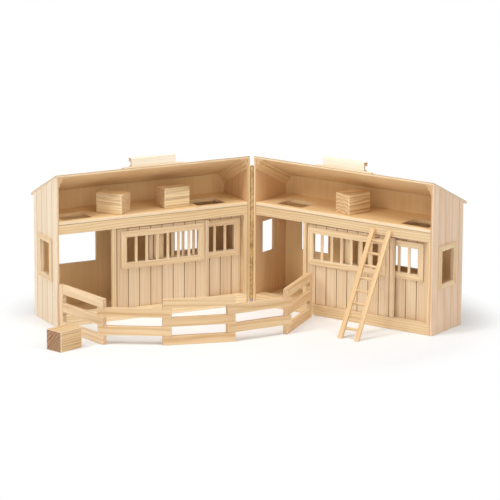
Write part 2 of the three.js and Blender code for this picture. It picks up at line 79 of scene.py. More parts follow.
# How squarely a face looks along the grain where the end's tint starts and where it is full.
END_FACING = (0.55, 0.9)
# What a year ring adds to the end's tint, and how much tint lies between the rings.
END_RINGS = (0.5, 0.75)
# How squarely a face looks out of a board where the edge's tint starts to fade and where it is gone.
EDGE_FACING = (0.3, 0.8)
# How dark a mitre's line is.
LINE_SHARE = 0.35
# How far each plank's wood is shifted along the grain and into the board.
PLANK_SHIFT = {"X": 3.0, "Z": 0.07}
# Corners nearer than this are one, in metres, and the angles that leave a face whole or make an edge sharp.
SAME_PLACE, FLAT_ANGLE, SHARP_ANGLE = 0.00001, 1, 30
WHITE = (1.0, 1.0, 1.0)
# The numbers of a Mix node's two inputs and its output, for each kind of mixture.
MIX_SOCKETS = {"RGBA": (6, 7, 2), "VECTOR": (4, 5, 1)}

Triple = tuple[float, float, float]
Colour = Triple
Socket = bpy.types.NodeSocket
Outputs = bpy.types.NodeOutputs
Feed = Union[Socket, float, Sequence[float]]


def joint_named(name: str) -> dict:
    """Finds a joint of the frame.

    Args:
        name: the joint's name.

    Returns:
        The joint as the record holds it.
    """
    return next(joint for joint in frame["joints"] if joint["name"] == name)


HINGE_AXIS = Vector(joint_named("fold_shut")["pos_m"])
OPENING = abs(joint_named("fold_shut")["range_deg"][0])


def paint(red: int, green: int, blue: int) -> Colour:
    """Turns a screen colour into the linear one that a shader takes, by the sRGB curve.

    Args:
        red: red, from 0 to 255.
        green: green, from 0 to 255.
        blue: blue, from 0 to 255.

    Returns:
        The linear colour.
    """
    shares = [value / 255 for value in (red, green, blue)]
    return tuple(s / 12.92 if s <= 0.04045 else ((s + 0.055) / 1.055) ** 2.4 for s in shares)


def corners(node: str, place: Matrix) -> list[Vector]:
    """Returns a CAD node's corners, moved by a matrix."""
    return [place @ vertex.co for vertex in frame["nodes"][node].data.vertices]


def span(places: Sequence[Vector]) -> tuple[Vector, Vector]:
    """Returns the lowest and the highest corner of a set of places."""
    return Vector(map(min, *places)), Vector(map(max, *places))


class NodeBench:
    """Adds and wires the nodes of one node tree."""

    def __init__(self, tree: bpy.types.NodeTree) -> None:
        """Takes a tree and empties it."""
        self.tree = tree
        self.tree.nodes.clear()

    def add(
        self, kind: str, feeds: Optional[dict[Union[str, int], Feed]] = None, **settings: object
    ) -> bpy.types.Node:
        """Adds a node.

        Args:
            kind: the node's type without its ShaderNode prefix, or its full type.
            feeds: what goes into its inputs, by name or by number.
            settings: the node's own settings.

        Returns:
            The node.
        """
        full = kind if kind.startswith(("ShaderNode", "NodeGroup")) else "ShaderNode" + kind
        node = self.tree.nodes.new(full)
        for name, value in settings.items():
            setattr(node, name, value)
        for name, value in (feeds or {}).items():
            self.feed(node.inputs[name], value)
        return node

    def feed(self, socket: Socket, value: Feed) -> None:
        """Links a socket to another, or sets its value.

        Args:
            socket: the input socket.
            value: an output socket, a number, a vector or a colour.
        """
        if isinstance(value, Socket):
            self.tree.links.new(value, socket)
        elif isinstance(value, (int, float)):
            socket.default_value = value
        else:
            room = len(socket.default_value)
            socket.default_value = (*value, 1.0)[:room] if room > len(value) else tuple(value)

    def sum(self, operation: str, first: Feed, second: Feed = 0.0) -> Socket:
        """Adds a Math node and returns its result."""
        return self.add("Math", {0: first, 1: second}, operation=operation).outputs[0]

    def raised(self, value: Feed, share: Feed, base: Feed) -> Socket:
        """Adds a value times a share to a base and returns the result."""
        return self.add("Math", {0: value, 1: share, 2: base}, operation="MULTIPLY_ADD").outputs[0]

    def rest(self, value: Feed) -> Socket:
        """Returns 1 less a value."""
        return self.sum("SUBTRACT", 1.0, value)

    def vector(self, operation: str, first: Feed, second: Feed) -> Socket:
        """Adds a Vector Math node and returns the vector that it gives."""
        return self.add("VectorMath", {0: first, 1: second}, operation=operation).outputs["Vector"]

    def length(self, vector: Feed) -> Socket:
        """Returns how long a vector is."""
        return self.add("VectorMath", {0: vector}, operation="LENGTH").outputs["Value"]

    def part(self, vector: Feed, axis: str) -> Socket:
        """Returns a vector's X, Y or Z."""
        return self.add("SeparateXYZ", {0: vector}).outputs[axis]

    def mix(
        self, share: Feed, first: Feed, second: Feed, kind: str = "RGBA", way: str = "MIX"
    ) -> Socket:
        """Mixes two colours, or two vectors, by a share.

        Args:
            share: how much of the second one counts, from 0 to 1.
            first: the first colour or vector.
            second: the second colour or vector.
            kind: RGBA for colours or VECTOR for vectors.
            way: how the second colour goes over the first.

        Returns:
            The mixture.
        """
        first_input, second_input, result = MIX_SOCKETS[kind]
        feeds = {"Factor": share, first_input: first, second_input: second}
        return self.add("Mix", feeds, data_type=kind, blend_type=way).outputs[result]

    def ease(self, value: Feed, low: float, high: float) -> Socket:
        """Turns a value between low and high into a smooth 0 to 1."""
        feeds = {"Value": value, "From Min": low, "From Max": high}
        return self.add("MapRange", feeds, interpolation_type="SMOOTHSTEP").outputs[0]

    def group(self, name: str, feeds: dict[str, Feed]) -> Outputs:
        """Places a shared node group.

        Args:
            name: the group's name.
            feeds: what goes into its inputs, by name.

        Returns:
            The group's outputs.
        """
        node = self.add("ShaderNodeGroup", None, node_tree=bpy.data.node_groups[name])
        for label, value in feeds.items():
            self.feed(node.inputs[label], value)
        return node.outputs

    def principled(self, feeds: dict[str, Feed]) -> None:
        """Ends the material's tree in a Principled shader with the given feeds."""
        self.add("OutputMaterial", {"Surface": self.add("BsdfPrincipled", feeds).outputs[0]})


def blank_material(name: str) -> tuple[bpy.types.Material, NodeBench]:
    """Makes a material with an empty node tree.

    Args:
        name: the material's name.

    Returns:
        The material and the bench of its tree.
    """
    made = bpy.data.materials.new(name)
    made.use_nodes = True
    return made, NodeBench(made.node_tree)


def new_group(
    name: str, takes: dict[str, str], gives: Sequence[str]
) -> tuple[NodeBench, Outputs, bpy.types.NodeInputs]:
    """Starts a shader node group.

    Args:
        name: the group's name.
        takes: its inputs, from name to kind of socket.
        gives: the names of its outputs, all of them plain values.

    Returns:
        The bench of its tree, what the group is given and what it has to put out.
    """
    tree = bpy.data.node_groups.new(name, "ShaderNodeTree")
    for label, kind in takes.items():
        tree.interface.new_socket(label, in_out="INPUT", socket_type="NodeSocket" + kind)
    for label in gives:
        tree.interface.new_socket(label, in_out="OUTPUT", socket_type="NodeSocketFloat")
    bench = NodeBench(tree)
    return bench, bench.add("NodeGroupInput").outputs, bench.add("NodeGroupOutput").inputs


@dataclass
class WoodFigure:
    """The figure of sawn wood: year rings, fibres, streaks and slow clouds of tone.

    The grain runs along the first axis of the vector that the group takes.
    """

    stretch_of_rings: Triple = (2.6, 14.0, 14.0)
    stretch_of_fibres: Triple = (11.0, 620.0, 620.0)
    stretch_of_streaks: Triple = (3.2, 120.0, 120.0)
    stretch_of_clouds: Triple = (5.0, 26.0, 26.0)
    coarse_detail: float = 2.0
    fine_detail: float = 3.0
    roughness: float = 0.6
    crisp: float = 0.28
    early_wood: float = 0.45
    late_wood: float = 0.78

    def build(self) -> None:
        """Builds the node group, with outputs Rings, Fibres, Streaks and Clouds, each from 0 to 1."""
        takes = {
            "Vector": "Vector", "Pith": "Vector", "Ring Pitch": "Float", "Wander": "Float",
            "Fineness": "Float", "Seed": "Float",
        }
        bench, given, wanted = new_group("wood_figure", takes, ("Rings", "Fibres", "Streaks", "Clouds"))
        place, seed = given["Vector"], given["Seed"]
        scaling = {0: place, "Scale": given["Fineness"]}
        fine = bench.add("VectorMath", scaling, operation="SCALE").outputs["Vector"]
        drift = self.noise(bench, fine, seed, self.stretch_of_rings, self.coarse_detail)
        wander = bench.sum("MULTIPLY", bench.sum("SUBTRACT", drift, 0.5), given["Wander"])
        from_pith = bench.vector("SUBTRACT", place, given["Pith"])
        radius = bench.length(bench.vector("MULTIPLY", from_pith, (0.0, 1.0, 1.0)))
        count = bench.sum("DIVIDE", bench.sum("ADD", radius, wander), given["Ring Pitch"])
        within = bench.sum("FRACT", count)
        rise = bench.ease(within, self.early_wood, self.late_wood)
        fall = bench.ease(within, self.late_wood, 1.0)
        bench.feed(wanted["Rings"], bench.sum("MULTIPLY", rise, bench.rest(fall)))
        for label, stretch in (("Fibres", self.stretch_of_fibres), ("Streaks", self.stretch_of_streaks)):
            noise = self.noise(bench, fine, seed, stretch, self.fine_detail)
            bench.feed(wanted[label], bench.ease(noise, self.crisp, 1 - self.crisp))
        clouds = self.noise(bench, place, seed, self.stretch_of_clouds, self.coarse_detail)
        bench.feed(wanted["Clouds"], clouds)

    def noise(self, bench: NodeBench, place: Feed, seed: Feed, stretch: Triple, detail: float) -> Socket:
        """Adds one stretched noise.

        Args:
            bench: the bench of the group's tree.
            place: the place on the piece, in metres.
            seed: a number that shifts the noise.
            stretch: how often the noise turns over in a metre, along each axis.
            detail: the noise's octaves.

        Returns:
            The noise, from 0 to 1.
        """
        feeds = {
            "Vector": bench.vector("MULTIPLY", place, stretch), "W": seed, "Scale": 1.0, "Detail": detail,
            "Roughness": self.roughness,
        }
        return bench.add("TexNoise", feeds, noise_dimensions="4D").outputs[0]


@dataclass
class PlankRow:
    """A row of V-grooved planks: a tone for each plank, and the dust and shade in its grooves."""

    seam_half: float = 0.0005
    seam_fade: float = 0.0006
    skin: float = 0.0016

    def build(self) -> None:
        """Builds the node group, with outputs Tone, from 0 to 1 for each plank, Seam and Skin."""
        takes = dict.fromkeys(("Across", "Depth", "First", "Pitch", "Seed"), "Float")
        bench, given, wanted = new_group("plank_row", takes, ("Tone", "Seam", "Skin"))
        planks = bench.sum("SUBTRACT", given["Across"], given["First"])
        planks = bench.sum("DIVIDE", planks, given["Pitch"])
        number = bench.sum("ADD", bench.sum("FLOOR", planks), given["Seed"])
        tone = bench.add("TexWhiteNoise", {"W": number}, noise_dimensions="1D").outputs[0]
        shifted = bench.sum("FRACT", bench.sum("ADD", planks, 0.5))
        off = bench.sum("ABSOLUTE", bench.sum("SUBTRACT", shifted, 0.5))
        off = bench.sum("MULTIPLY", off, given["Pitch"])
        seam = bench.rest(bench.ease(off, self.seam_half, self.seam_half + self.seam_fade))
        depth = bench.sum("ABSOLUTE", given["Depth"])
        skin = bench.rest(bench.ease(depth, self.skin, 2 * self.skin))
        bench.feed(wanted["Tone"], tone)
        bench.feed(wanted["Seam"], bench.sum("MULTIPLY", seam, skin))
        bench.feed(wanted["Skin"], skin)


@dataclass
class MitredFrame:
    """Which wood of a flat frame runs upright: its stiles and bars, up to the mitre at each corner."""

    line: float = 0.00035
    edge: float = 0.00015

    def build(self) -> None:
        """Builds the node group, with outputs Upright and Line, each from 0 to 1."""
        takes = dict.fromkeys(("Along", "Up", "Half Length", "Half Height"), "Float")
        bench, given, wanted = new_group("mitred_frame", takes, ("Upright", "Line"))
        beside = bench.sum("SUBTRACT", bench.sum("ABSOLUTE", given["Along"]), given["Half Length"])
        above = bench.sum("SUBTRACT", bench.sum("ABSOLUTE", given["Up"]), given["Half Height"])
        past = bench.sum("SUBTRACT", above, bench.sum("MAXIMUM", beside, 0.0))
        off = bench.sum("ABSOLUTE", bench.sum("SUBTRACT", above, beside))
        line = bench.rest(bench.ease(off, self.line / 2, self.line))
        corner = bench.sum("GREATER_THAN", above, 0.0)
        bench.feed(wanted["Upright"], bench.rest(bench.ease(past, -self.edge, self.edge)))
        bench.feed(wanted["Line"], bench.sum("MULTIPLY", line, corner))


class Lay(Enum):
    """Which axes of its own frame a piece's grain, its width and its face follow."""

    ALONG = ((1, 0, 0), (0, 1, 0), (0, 0, 1))
    ALONG_FRONT = ((1, 0, 0), (0, 0, 1), (0, -1, 0))
    ALONG_END = ((0, 1, 0), (0, 0, 1), (1, 0, 0))
    UPRIGHT = ((0, 0, 1), (1, 0, 0), (0, 1, 0))
    UPRIGHT_END = ((0, 0, 1), (0, 1, 0), (-1, 0, 0))
    DOWN_SLOPE = ((0, 1, 0), (1, 0, 0), (0, 0, -1))

    def turn(self) -> Matrix:
        """Returns the matrix from a piece's axes to grain, across and depth."""
        return Matrix(self.value).to_4x4()


@dataclass(frozen=True)
class Planks:
    """Where a piece's planks meet, across its grain, and how its grooved face looks."""

    first: float
    pitch: float
    face: float
    seam_share: float


@dataclass(frozen=True)
class UnshadedSpan:
    """Between which places along one of its grain axes a piece keeps its colour; beyond them painted shade
    darkens it, where it meets other parts or runs in a track.
    """

    axis: str
    low: float = -1.0
    high: float = 1.0
    fade: float = 0.0007


@dataclass(frozen=True)
class Mitre:
    """The opening of a mitred frame, in grain axes."""

    middle: tuple[float, float]
    half_length: float
    half_height: float


@dataclass(frozen=True)
class CrossPart:
    """The part of a piece whose grain crosses the rest: a fence's end post or a ladder's rungs."""

    start: float
    axis: str
    fade: float = 0.0001


@dataclass(frozen=True)
class Timber:
    """A sawn timber, bare or sanded."""

    name: str
    pale: Colour
    dark: Colour
    # The dark colour of the plank seams, the mitre and glue lines, and the painted shade at joints and
    # tracks.
    seam: Colour = paint(134, 94, 54)
    end: Colour = paint(186, 142, 108)
    end_share: float = 0.5
    worn: Colour = paint(252, 236, 208)
    worn_share: float = 0.35
    # The tint of the faces behind a planked face, and how strongly it shows: painted shade on the walls'
    # insides.
    inner: Colour = paint(226, 180, 116)
    inside_shade_share: float = 0.0
    pith: Optional[tuple[float, float]] = None
    ring_pitch: float = 0.0062
    wander: float = 0.03
    fineness: float = 1.0
    base: float = 0.3
    rings: float = 0.2
    fibres: float = 0.14
    streaks: float = 0.2
    clouds: float = 0.42
    plank_tone: float = 0.26
    ply_line: Optional[float] = None
    ply_half: float = 0.0004
    ply_reach: float = 0.0009
    ply_share: float = 0.5
    # How dark the painted shade at joints and tracks is.
    painted_shade_share: float = 0.75
    edge: Colour = paint(255, 236, 208)
    edge_share: float = 0.0
    roughness: float = 0.62
    roughness_play: float = 0.16
    specular: float = 0.35
    ring_sink: float = 0.5
    bump: float = 0.2
    bump_depth: float = 0.0003

    def material(
        self,
        piece: str,
        place: Matrix,
        lay: Lay,
        planks: Optional[Planks] = None,
        joinery: Union[Mitre, CrossPart, None] = None,
        unshaded: Optional[UnshadedSpan] = None,
        front: Optional[float] = None,
    ) -> bpy.types.Material:
        """Makes the timber for one piece.

        Args:
            piece: the piece's name.
            place: the matrix from the model's frame to the piece's own.
            lay: how the grain runs in the piece's own frame.
            planks: the piece's planks, if it has any.
            joinery: where the grain turns within the piece, if it does.
            unshaded: where the piece is left without painted shade, if painted shade darkens the rest at
                its joints or in its track.
            front: how far back, across the grain, the pale sawn edge reaches, if it ends.

        Returns:
            The material.
        """
        made, bench = blank_material(f"{self.name}_{piece}")
        seed = (sum(map(ord, piece)) * SEED_STEP) % SEED_ROOM
        turned = lay.turn() @ place
        turn = turned.to_euler("XYZ")
        source = bench.add("TexCoord").outputs
        feeds = {"Vector": source["Object"], "Location": turned.translation, "Rotation": turn}
        spot = bench.add("Mapping", feeds, vector_type="POINT").outputs[0]
        feeds = {"Vector": source["Normal"], "Rotation": turn}
        facing = bench.add("Mapping", feeds, vector_type="NORMAL").outputs[0]
        cross, line = self.joinery_masks(bench, spot, joinery)
        grain, row = spot, None
        if cross:
            grain = bench.mix(cross, spot, self.swapped(bench, spot), "VECTOR")
            facing = bench.mix(cross, facing, self.swapped(bench, facing), "VECTOR")
        if planks:
            grain, row = self.plank_masks(bench, spot, planks, seed)
        figure = self.figure(bench, grain, seed)
        colour = self.grown(bench, figure, row)
        colour = self.sawn(bench, colour, figure["Rings"], spot, facing, front)
        # Marks drawn in the seam colour: plank seams, painted shade at joints and tracks, mitre lines and
        # glue lines.
        marks = []
        if row:
            marks.append(bench.sum("MULTIPLY", row["Seam"], planks.seam_share))
        if unshaded:
            marks.append(self.painted_shade_mask(bench, spot, unshaded))
        if line:
            marks.append(bench.sum("MULTIPLY", line, LINE_SHARE))
        if self.ply_line is not None:
            marks.append(self.ply_mask(bench, spot))
        for mark in marks:
            colour = bench.mix(mark, colour, self.seam)
        height = bench.raised(figure["Rings"], -self.ring_sink, figure["Fibres"])
        feeds = {"Height": height, "Strength": self.bump, "Distance": self.bump_depth}
        play = self.roughness_play
        bench.principled({
            "Base Color": colour,
            "Roughness": bench.raised(figure["Fibres"], play, self.roughness - play / 2),
            "Specular IOR Level": self.specular,
            "Normal": bench.add("Bump", feeds).outputs[0],
        })
        return made

    def figure(self, bench: NodeBench, grain: Feed, seed: float) -> Outputs:
        """Places the wood's figure.

        Args:
            bench: the bench of the material's tree.
            grain: the place in grain axes, in each plank's own piece of the wood.
            seed: a number that shifts the figure.

        Returns:
            The outputs of the figure.
        """
        pith = self.pith or [
            start + step * (seed % turns) for start, step, turns in zip(PITH_FROM, PITH_STEPS, PITH_TURNS)
        ]
        feeds = {
            "Vector": grain, "Pith": (0.0, *pith), "Ring Pitch": self.ring_pitch, "Wander": self.wander,
            "Fineness": self.fineness, "Seed": seed,
        }
        return bench.group("wood_figure", feeds)

    def grown(self, bench: NodeBench, figure: Outputs, row: Optional[Outputs]) -> Socket:
        """Mixes the colour of the wood, with painted shade on the faces behind its planks, rubbed paler on
        its rounded edges.

        Args:
            bench: the bench of the material's tree.
            figure: the outputs of the figure.
            row: the outputs of the plank row, if the piece has planks.

        Returns:
            The colour.
        """
        shade: Feed = self.base
        shares = {"Fibres": self.fibres, "Streaks": self.streaks, "Clouds": self.clouds}
        for label, strength in shares.items():
            shade = bench.raised(bench.sum("SUBTRACT", figure[label], 0.5), strength, shade)
        shade = bench.raised(figure["Rings"], self.rings, shade)
        if row:
            level = bench.sum("MULTIPLY", bench.sum("SUBTRACT", row["Tone"], 0.5), row["Skin"])
            shade = bench.raised(level, self.plank_tone, shade)
        colour = bench.mix(bench.add("Clamp", {"Value": shade}).outputs[0], self.pale, self.dark)
        if row:
            # The faces behind the planked face, the walls' insides, are darkened and warmed with painted
            # shade.
            inside = bench.raised(row["Skin"], -self.inside_shade_share, self.inside_shade_share)
            colour = bench.mix(inside, colour, self.inner, way="MULTIPLY")
        worn = bench.add("Attribute", None, attribute_name=WORN).outputs["Fac"]
        return bench.mix(bench.sum("MULTIPLY", worn, self.worn_share), colour, self.worn)

    def sawn(
        self, bench: NodeBench, colour: Feed, rings: Feed, spot: Feed, facing: Feed, front: Optional[float]
    ) -> Socket:
        """Tints the end grain, and the sawn edges of a board.

        Args:
            bench: the bench of the material's tree.
            colour: the colour of the wood.
            rings: the year rings.
            spot: the place in grain axes.
            facing: the way that the surface faces, in grain axes.
            front: how far back, across the grain, the pale sawn edge reaches, if it ends.

        Returns:
            The tinted colour.
        """
        along = bench.sum("ABSOLUTE", bench.part(facing, "X"))
        end = bench.sum("MULTIPLY", bench.ease(along, *END_FACING), self.end_share)
        end = bench.sum("MULTIPLY", end, bench.raised(rings, *END_RINGS))
        colour = bench.mix(end, colour, self.end)
        if not self.edge_share:
            return colour
        flat = bench.sum("ABSOLUTE", bench.part(facing, "Z"))
        edge = bench.raised(bench.ease(flat, *EDGE_FACING), -self.edge_share, self.edge_share)
        if front is not None:
            edge = bench.sum("MULTIPLY", edge, bench.sum("LESS_THAN", bench.part(spot, "Y"), front))
        return bench.mix(edge, colour, self.edge)

    def ply_mask(self, bench: NodeBench, spot: Feed) -> Socket:
        """Marks the glue line in a plywood board's edges.

        Args:
            bench: the bench of the material's tree.
            spot: the place in grain axes.

        Returns:
            The mask of the line.
        """
        off = bench.sum("ABSOLUTE", bench.sum("SUBTRACT", bench.part(spot, "Z"), self.ply_line))
        return bench.raised(bench.ease(off, self.ply_half, self.ply_reach), -self.ply_share, self.ply_share)

    def painted_shade_mask(self, bench: NodeBench, spot: Feed, unshaded: UnshadedSpan) -> Socket:
        """Marks the painted shade where a piece meets other parts or runs in its track.

        Args:
            bench: the bench of the material's tree.
            spot: the place in grain axes.
            unshaded: where the piece is left without painted shade.

        Returns:
            The mask of the painted shade.
        """
        along = bench.part(spot, unshaded.axis)
        below = bench.ease(bench.sum("SUBTRACT", unshaded.low, along), 0.0, unshaded.fade)
        above = bench.ease(bench.sum("SUBTRACT", along, unshaded.high), 0.0, unshaded.fade)
        return bench.sum("MULTIPLY", bench.sum("MAXIMUM", below, above), self.painted_shade_share)

    def swapped(self, bench: NodeBench, vector: Feed) -> Socket:
        """Swaps the grain's axis and the one across it.

        Args:
            bench: the bench of the material's tree.
            vector: the vector in grain axes.

        Returns:
            The vector for wood that runs across.
        """
        parts = bench.add("SeparateXYZ", {0: vector}).outputs
        return bench.add("CombineXYZ", {"X": parts["Y"], "Y": parts["X"], "Z": parts["Z"]}).outputs[0]

    def joinery_masks(
        self, bench: NodeBench, spot: Feed, joinery: Union[Mitre, CrossPart, None]
    ) -> tuple[Optional[Socket], Optional[Socket]]:
        """Works out where the grain crosses over and where the parts meet.

        Args:
            bench: the bench of the material's tree.
            spot: the place in grain axes.
            joinery: the piece's joinery, if it has any.

        Returns:
            The mask of the crossing wood and the mask of the joint line, or None for each.
        """
        if joinery is None:
            return None, None
        if isinstance(joinery, CrossPart):
            low, high = joinery.start - joinery.fade, joinery.start + joinery.fade
            return bench.ease(bench.part(spot, joinery.axis), low, high), None
        away = bench.vector("SUBTRACT", spot, (*joinery.middle, 0.0))
        parts = bench.add("SeparateXYZ", {0: away}).outputs
        feeds = {
            "Along": parts["X"], "Up": parts["Y"],
            "Half Length": joinery.half_length, "Half Height": joinery.half_height,
        }
        masks = bench.group("mitred_frame", feeds)
        return masks["Upright"], masks["Line"]

    def plank_masks(
        self, bench: NodeBench, spot: Feed, planks: Planks, seed: float
    ) -> tuple[Socket, Outputs]:
        """Gives each plank its own piece of the wood.

        Args:
            bench: the bench of the material's tree.
            spot: the place in grain axes.
            planks: the piece's planks.
            seed: a number that shifts the planks' tones.

        Returns:
            The shifted place and the outputs of the plank row.
        """
        parts = bench.add("SeparateXYZ", {0: spot}).outputs
        feeds = {
            "Across": parts["Y"], "Depth": bench.sum("SUBTRACT", parts["Z"], planks.face),
            "First": planks.first, "Pitch": planks.pitch, "Seed": seed,
        }
        row = bench.group("plank_row", feeds)
        tone = bench.sum("MULTIPLY", row["Tone"], row["Skin"])
        feeds = {axis: bench.sum("MULTIPLY", tone, reach) for axis, reach in PLANK_SHIFT.items()}
        shift = bench.add("CombineXYZ", feeds).outputs[0]
        return bench.vector("ADD", spot, shift), row


@dataclass(frozen=True)
class Brass:
    """Lacquered sheet brass with a dull, slightly rubbed face."""

    bright: Colour = paint(222, 194, 138)
    dull: Colour = paint(176, 144, 92)
    # The colour, strength and reach from the axis of the painted shade that darkens each leaf towards the
    # other leaf's notches.
    notch_shade: Colour = paint(96, 70, 36)
    painted_shade_share: float = 0.6
    notch_shade_from: float = 0.0006
    notch_shade_to: float = 0.0022
    smudge_scale: float = 90.0
    smudge_detail: float = 4.0
    smudge_roughness: float = 0.65
    smudge_span: tuple[float, float] = (0.35, 0.68)
    drawn_scale: Triple = (2600.0, 2600.0, 60.0)
    drawn_detail: float = 2.0
    roughness: float = 0.38
    roughness_play: float = 0.25
    roughness_drop: float = 0.1
    bump: float = 0.12
    bump_depth: float = 0.0001

    def material(self, piece: str, far: Optional[Vector] = None) -> bpy.types.Material:
        """Makes the brass.

        Args:
            piece: the name of what it covers.
            far: the way from the hinge's axis into the other leaf's notches, where painted shade darkens
                the leaf.

        Returns:
            The material.
        """
        made, bench = blank_material(f"brass_{piece}")
        spot = bench.add("TexCoord").outputs["Object"]
        feeds = {
            "Vector": spot, "Scale": self.smudge_scale, "Detail": self.smudge_detail,
            "Roughness": self.smudge_roughness,
        }
        smudge = bench.add("TexNoise", feeds).outputs[0]
        stretched = bench.vector("MULTIPLY", spot, self.drawn_scale)
        feeds = {"Vector": stretched, "Scale": 1.0, "Detail": self.drawn_detail}
        drawn = bench.add("TexNoise", feeds).outputs[0]
        colour = bench.mix(bench.ease(smudge, *self.smudge_span), self.bright, self.dull)
        # Each leaf is darkened with painted shade on its side towards the other leaf's notches.
        if far:
            away = bench.vector("SUBTRACT", spot, HINGE_AXIS)
            side = bench.add("VectorMath", {0: away, 1: far}, operation="DOT_PRODUCT").outputs["Value"]
            notch_shade = bench.ease(side, self.notch_shade_from, self.notch_shade_to)
            colour = bench.mix(bench.sum("MULTIPLY", notch_shade, self.painted_shade_share), colour, self.notch_shade)
        feeds = {"Height": drawn, "Strength": self.bump, "Distance": self.bump_depth}
        bench.principled({
            "Base Color": colour,
            "Metallic": 1.0,
            "Roughness": bench.raised(smudge, self.roughness_play, self.roughness - self.roughness_drop),
            "Normal": bench.add("Bump", feeds).outputs[0],
        })
        return made


PINE = Timber("pine", pale=paint(246, 225, 192), dark=paint(216, 178, 130), inside_shade_share=0.5)
# The next pine is a lit copy for the left outer wall, and the pine two lines below a shaded, pinker copy
# for the right outer wall: painted light and painted shade.
LIT_WALL_PINE = Timber("pale_pine", pale=paint(250, 234, 210), dark=paint(224, 192, 152), inside_shade_share=0.6)
DOOR_PINE = Timber("door_pine", pale=paint(238, 216, 184), dark=paint(209, 171, 127))
SHADED_WALL_PINE = Timber("pink_pine", pale=paint(243, 217, 190), dark=paint(216, 176, 138), inside_shade_share=0.6)
PLYWOOD = Timber(
    "plywood", pale=paint(240, 208, 158), dark=paint(212, 168, 110),
    rings=0.08, fibres=0.1, streaks=0.14, clouds=0.5
)
LOFT_PLY = replace(PLYWOOD, name="loft_ply", edge_share=0.55, worn=paint(255, 240, 216), worn_share=0.5)
ROOF_PLY = replace(
    PLYWOOD, name="roof_ply", pale=paint(243, 215, 172), dark=paint(216, 174, 120),
    edge_share=0.5, ply_line=-0.0011
)
BEAM_PINE = Timber(
    "beam_pine", pale=paint(246, 223, 182), dark=paint(210, 166, 108),
    rings=0.4, ring_pitch=0.0046, wander=0.022
)
# The next two pines are a shaded copy of the beam pine, for the right half's sill and beam, and a lit copy,
# for the left sill: painted shade and painted light.
SHADED_BEAM_PINE = replace(
    BEAM_PINE, name="deep_beam_pine", pale=paint(237, 214, 175), dark=paint(202, 159, 104)
)
LIT_BEAM_PINE = replace(
    BEAM_PINE, name="pale_beam_pine", pale=paint(255, 240, 203), dark=paint(224, 181, 126)
)
BIRCH = Timber(
    "birch", pale=paint(245, 221, 184), dark=paint(210, 166, 112),
    rings=0.3, ring_pitch=0.006, streaks=0.34
)
# The fence's birch is a darker, shaded copy of the birch, and the next one a lit copy for end panel a:
# painted shade and painted light.
FENCE_BIRCH = replace(
    BIRCH, name="fence_birch", pale=paint(235, 207, 166), dark=paint(199, 154, 101),
    rings=0.34, streaks=0.4
)
LIT_FENCE_BIRCH = replace(
    FENCE_BIRCH, name="pale_fence_birch", pale=paint(246, 220, 182), dark=paint(209, 167, 118)
)
LADDER_BIRCH = replace(
    BIRCH, name="ladder_birch", pale=paint(236, 203, 156), dark=paint(202, 154, 98),
    rings=0.2, streaks=0.3
)
HANDLE_BIRCH = Timber(
    "handle_birch", pale=paint(254, 246, 228), dark=paint(238, 212, 172),
    end=paint(178, 130, 84), end_share=0.8
)
LOFT_BALE = Timber(
    "loft_bale", pale=paint(248, 222, 176), dark=paint(168, 120, 72), end=paint(206, 158, 116),
    pith=(-0.06, -0.03), ring_pitch=0.003, wander=0.02, fineness=2.6,
    base=0.2, rings=0.1, fibres=0.3, streaks=0.85, bump=0.6
)
RINGED_BALE = Timber(
    "ringed_bale", pale=paint(242, 210, 160), dark=paint(164, 114, 68), end=paint(214, 168, 124),
    end_share=0.2, pith=(-0.05, -0.005), ring_pitch=0.0066, wander=0.02, fineness=2.4,
    base=0.14, rings=0.55, fibres=0.24, streaks=0.4, bump=0.6
)
YARD_BALE = Timber(
    "yard_bale", pale=paint(234, 201, 152), dark=paint(158, 112, 68), end=paint(132, 86, 64),
    end_share=0.8, pith=(-0.05, 0.05), ring_pitch=0.005, wander=0.026, fineness=2.0,
    base=0.2, rings=0.38, fibres=0.24, streaks=0.5, bump=0.5, worn_share=0.5
)


def own_mesh(node: str) -> bmesh.types.BMesh:
    """Copies a CAD node's mesh with its corners joined and its flat faces made whole.

    Args:
        node: the node's name.

    Returns:
        The mesh, to be shaped further.
    """
    shape = bmesh.new()
    shape.from_mesh(frame["nodes"][node].data)
    bmesh.ops.remove_doubles(shape, verts=shape.verts, dist=SAME_PLACE)
    flat = math.radians(FLAT_ANGLE)
    bmesh.ops.dissolve_limit(shape, angle_limit=flat, verts=shape.verts, edges=shape.edges)
    return shape


def finished(shape: bmesh.types.BMesh, name: str) -> bpy.types.Object:
    """Turns a shaped mesh into an object of the scene.

    Args:
        shape: the mesh, which is used up.
        name: the object's name.

    Returns:
        The object, at the origin.
    """
    mesh = bpy.data.meshes.new(name)
    shape.to_mesh(mesh)
    shape.free()
    made = bpy.data.objects.new(name, mesh)
    bpy.context.scene.collection.objects.link(made)
    return made


def softened(shape: bmesh.types.BMesh, radius: float, segments: int) -> None:
    """Rounds every sharp outward edge of a mesh, as sanding does.

    Args:
        shape: the mesh.
        radius: how far the rounding reaches from an edge.
        segments: how many facets it has.
    """
    worn = shape.faces.layers.float.new(WORN)
    sharp = [
        edge for edge in shape.edges
        if edge.is_manifold and edge.is_convex and edge.calc_face_angle() > math.radians(SHARP_ANGLE)
    ]
    rounded = bmesh.ops.bevel(
        shape, geom=sharp, offset=radius, offset_type="OFFSET", segments=segments, profile=0.5,
        affect="EDGES", clamp_overlap=True, material=-1, harden_normals=False
    )
    for face in rounded["faces"]:
        face[worn] = 1.0
    for face in shape.faces:
        face.smooth = True


